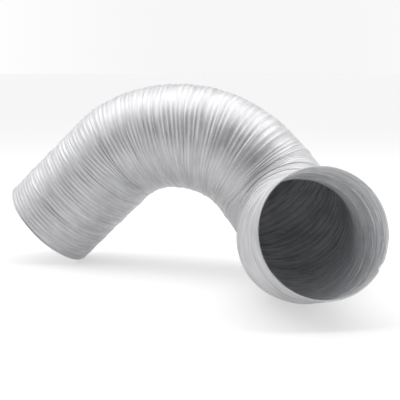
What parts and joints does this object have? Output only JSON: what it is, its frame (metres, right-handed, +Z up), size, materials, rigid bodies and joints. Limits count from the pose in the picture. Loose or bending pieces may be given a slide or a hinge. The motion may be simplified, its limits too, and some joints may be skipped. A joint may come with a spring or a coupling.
{
  "type": "flexible air duct",
  "caption": "Bent length of semi-rigid corrugated aluminium ventilation duct with open ends and bending turns.",
  "frame": {"origin": "centre of the duct's footprint, on the floor it lies on", "axes": "+Z up, the mouth opens towards -Y, the tail leg comes down towards -X"},
  "size_m": [0.3433, 0.3716, 0.1834],
  "materials": {
    "wall_foil": "satin rolled aluminium foil, ribbed",
    "seam_foil": "satin rolled aluminium foil, folded four times"
  },
  "bodies": {
    "mouth_end": {"wall_turn_19": "wall_foil", "lock_seam_18": "seam_foil", "wall_turn_18": "wall_foil"},
    "turn_17": {"wall_turn_17": "wall_foil", "lock_seam_17": "seam_foil"},
    "turn_16": {"wall_turn_16": "wall_foil", "lock_seam_16": "seam_foil"},
    "turn_15": {"wall_turn_15": "wall_foil", "lock_seam_15": "seam_foil"},
    "turn_14": {"wall_turn_14": "wall_foil", "lock_seam_14": "seam_foil"},
    "turn_13": {"wall_turn_13": "wall_foil", "lock_seam_13": "seam_foil"},
    "turn_12": {"wall_turn_12": "wall_foil", "lock_seam_12": "seam_foil"},
    "turn_11": {"wall_turn_11": "wall_foil", "lock_seam_11": "seam_foil"},
    "turn_10": {"wall_turn_10": "wall_foil", "lock_seam_10": "seam_foil"},
    "turn_09": {"wall_turn_09": "wall_foil", "lock_seam_09": "seam_foil"},
    "turn_08": {"wall_turn_08": "wall_foil", "lock_seam_08": "seam_foil"},
    "turn_07": {"wall_turn_07": "wall_foil", "lock_seam_07": "seam_foil"},
    "turn_06": {"wall_turn_06": "wall_foil", "lock_seam_06": "seam_foil"},
    "turn_05": {"wall_turn_05": "wall_foil", "lock_seam_05": "seam_foil"},
    "turn_04": {"wall_turn_04": "wall_foil", "lock_seam_04": "seam_foil"},
    "turn_03": {"wall_turn_03": "wall_foil", "lock_seam_03": "seam_foil"},
    "turn_02": {"wall_turn_02": "wall_foil", "lock_seam_02": "seam_foil"},
    "tail_end": {"wall_turn_01": "wall_foil", "lock_seam_01": "seam_foil"}
  },
  "joints": [
    {"name": "stretch_02", "type": "slide", "parent": "turn_02", "child": "tail_end", "axis": [-0.7009, 0.1859, -0.6886], "range_m": [-0.008, 0.012], "deforming": ["wall_turn_02"]},
    {"name": "sway_03", "type": "hinge", "parent": "turn_03", "child": "turn_02", "pos_m": [-0.0854, 0.12169, 0.08553], "axis": [0.6446, -0.2481, -0.7231], "range_deg": [-12, 12], "deforming": ["wall_turn_03"]},
    {"name": "nod_04", "type": "hinge", "parent": "turn_04", "child": "turn_03", "pos_m": [-0.0655, 0.11641, 0.10504], "axis": [0.3052, 0.9507, -0.0541], "range_deg": [-8, 8], "deforming": ["wall_turn_04"]},
    {"name": "straighten_05", "type": "hinge", "parent": "turn_05", "child": "turn_04", "pos_m": [-0.0636, 0.11938, 0.16786], "axis": [0.3052, 0.9507, -0.0541], "range_deg": [0, 12], "deforming": ["wall_turn_05"]},
    {"name": "sway_06", "type": "hinge", "parent": "turn_06", "child": "turn_05", "pos_m": [-0.01705, 0.10223, 0.12924], "axis": [0.1475, -0.1033, -0.9836], "range_deg": [-8, 8], "deforming": ["wall_turn_06"]},
    {"name": "tighten_07", "type": "hinge", "parent": "turn_07", "child": "turn_06", "pos_m": [0.00556, 0.09209, 0.0786], "axis": [-0.3052, -0.9507, 0.0541], "range_deg": [0, 12], "deforming": ["wall_turn_07"]},
    {"name": "straighten_08", "type": "hinge", "parent": "turn_08", "child": "turn_07", "pos_m": [0.05236, 0.08255, 0.17504], "axis": [0.3052, 0.9507, -0.0541], "range_deg": [0, 14], "deforming": ["wall_turn_08"]},
    {"name": "sway_09", "type": "hinge", "parent": "turn_09", "child": "turn_08", "pos_m": [0.06051, 0.07643, 0.11347], "axis": [-0.5154, 0.1172, -0.8489], "range_deg": [-7, 7], "deforming": ["wall_turn_09"]},
    {"name": "straighten_10", "type": "hinge", "parent": "turn_10", "child": "turn_09", "pos_m": [0.11746, 0.05922, 0.13229], "axis": [0.3052, 0.9507, -0.0541], "range_deg": [0, 12], "deforming": ["wall_turn_10"]},
    {"name": "straighten_11", "type": "hinge", "parent": "turn_11", "child": "turn_10", "pos_m": [0.11875, 0.10122, 0.05467], "axis": [-0.7599, 0.0531, -0.6479], "range_deg": [0, 16], "deforming": ["wall_turn_11"]},
    {"name": "straighten_12", "type": "hinge", "parent": "turn_12", "child": "turn_11", "pos_m": [0.13982, 0.06382, 0.02689], "axis": [-0.7599, 0.0531, -0.6479], "range_deg": [0, 16], "deforming": ["wall_turn_12"]},
    {"name": "straighten_13", "type": "hinge", "parent": "turn_13", "child": "turn_12", "pos_m": [0.14783, 0.01513, 0.0135], "axis": [-0.7599, 0.0531, -0.6479], "range_deg": [0, 12], "deforming": ["wall_turn_13"]},
    {"name": "sway_14", "type": "hinge", "parent": "turn_14", "child": "turn_13", "pos_m": [0.11221, -0.01756, 0.0526], "axis": [0, 0, -1], "range_deg": [-10, 10], "deforming": ["wall_turn_14"]},
    {"name": "stretch_15", "type": "slide", "parent": "turn_15", "child": "turn_14", "axis": [0.0698, 0.9976, 0], "range_m": [-0.008, 0.012], "deforming": ["wall_turn_15"]},
    {"name": "nod_16", "type": "hinge", "parent": "turn_16", "child": "turn_15", "pos_m": [0.1091, -0.07417, 0.05354], "axis": [1, 0.0006, 0], "range_deg": [-10, 10], "deforming": ["wall_turn_16"]},
    {"name": "sway_17", "type": "hinge", "parent": "turn_17", "child": "turn_16", "pos_m": [0.11028, -0.10229, 0.05699], "axis": [0.0139, -0.1654, -0.9861], "range_deg": [-8, 8], "deforming": ["wall_turn_17"]},
    {"name": "stretch_18", "type": "slide", "parent": "mouth_end", "child": "turn_17", "axis": [-0.1633, 0.9538, -0.2523], "range_m": [-0.008, 0.012], "deforming": ["wall_turn_18"]}
  ]
}
